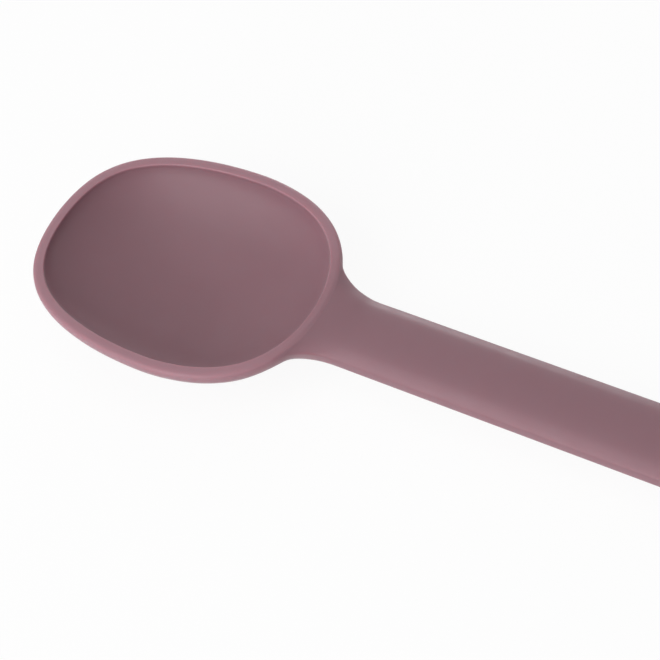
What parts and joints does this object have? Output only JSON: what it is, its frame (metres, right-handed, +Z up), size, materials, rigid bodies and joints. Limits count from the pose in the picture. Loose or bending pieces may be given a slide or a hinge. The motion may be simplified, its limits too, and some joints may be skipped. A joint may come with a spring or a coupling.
{
  "type": "cooking spoon",
  "caption": "Silicone-covered cooking spoon with a deep egg-shaped bowl, a flat rim and a straight broad handle with a hanging hole; stirs, scoops and serves.",
  "frame": {"origin": "bottom centre of the bounding box, on the surface that the spoon lies on", "axes": "+X along the spoon, from the bowl's tip to the handle's end; +Z up, out of the bowl's mouth"},
  "size_m": [0.2796, 0.065, 0.0205],
  "materials": {
    "silicone": "matte moulded silicone, dusty mauve",
    "nylon": "moulded glass-filled nylon",
    "steel": "punched strip, brushed"
  },
  "bodies": {
    "root": {"silicone_skin": "silicone", "bowl_core": "nylon", "handle_strip": "steel"}
  },
  "joints": []
}
